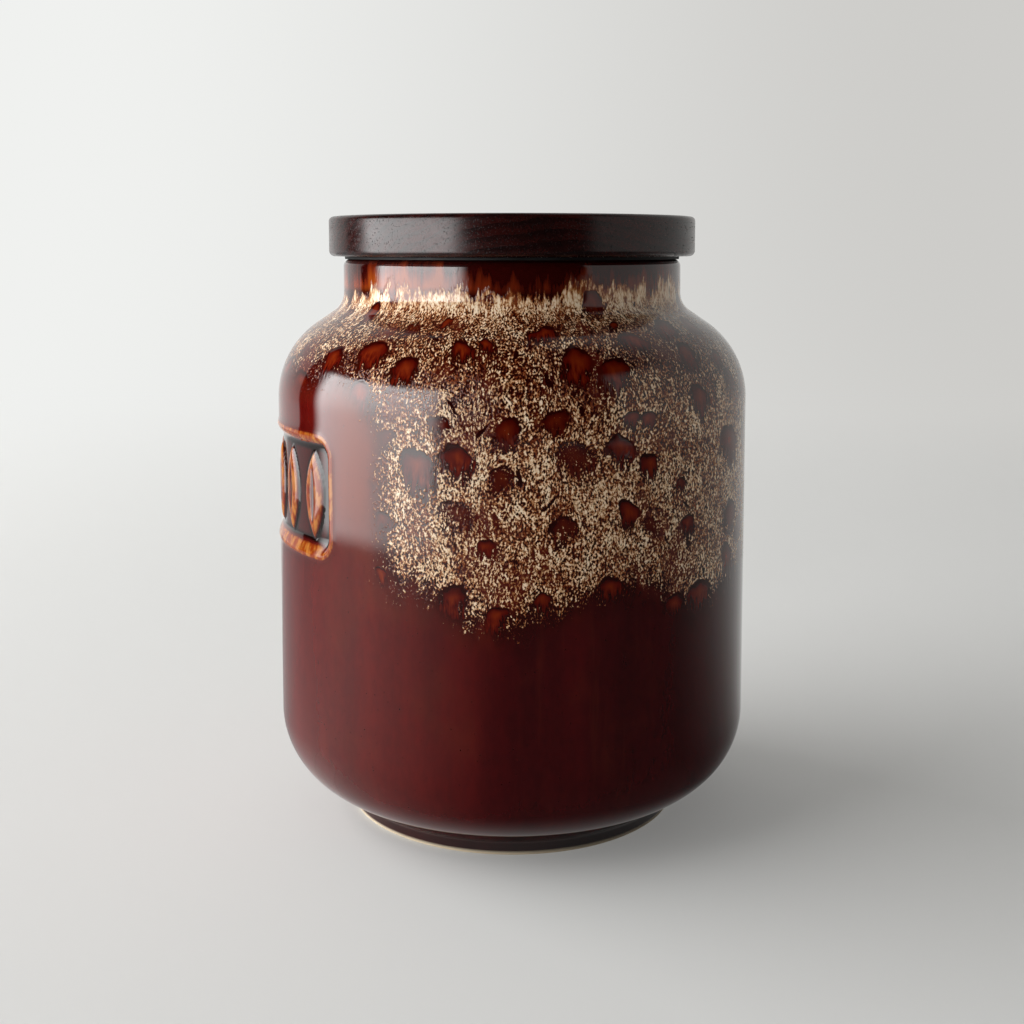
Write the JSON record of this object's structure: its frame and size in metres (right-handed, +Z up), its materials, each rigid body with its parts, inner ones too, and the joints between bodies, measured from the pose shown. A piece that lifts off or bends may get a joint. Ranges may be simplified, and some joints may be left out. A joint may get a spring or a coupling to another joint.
{
  "type": "food canister",
  "caption": "Round glazed stoneware food canister with a rounded shoulder, a moulded front panel and a flat wooden lid on a rubber seal.",
  "frame": {"origin": "middle of the foot ring, on the surface that the canister stands on", "axes": "+Z up along the pot's turning axis; the moulded front panel faces -Y"},
  "size_m": [0.1668, 0.1668, 0.21],
  "materials": {
    "glazed_stoneware": "glossy maroon-brown glaze with a cream speckle run down from the neck",
    "stained_wood": "very dark stained and waxed wood, satin",
    "plug_wood": "dark stained wood, satin",
    "black_rubber": "soft black rubber"
  },
  "bodies": {
    "jar": {"jar_body": "glazed_stoneware"},
    "seal": {"seal_ring": "black_rubber"},
    "lid": {"lid_disc": "stained_wood", "lid_plug": "plug_wood"}
  },
  "joints": [
    {"name": "lid_lift", "type": "slide", "parent": "jar", "child": "seal", "axis": [0, 0, 1], "range_m": [0, 0.08]},
    {"name": "lid_turn", "type": "hinge", "parent": "seal", "child": "lid", "pos_m": [0, 0, 0.1962], "axis": [0, 0, 1], "continuous": true}
  ]
}
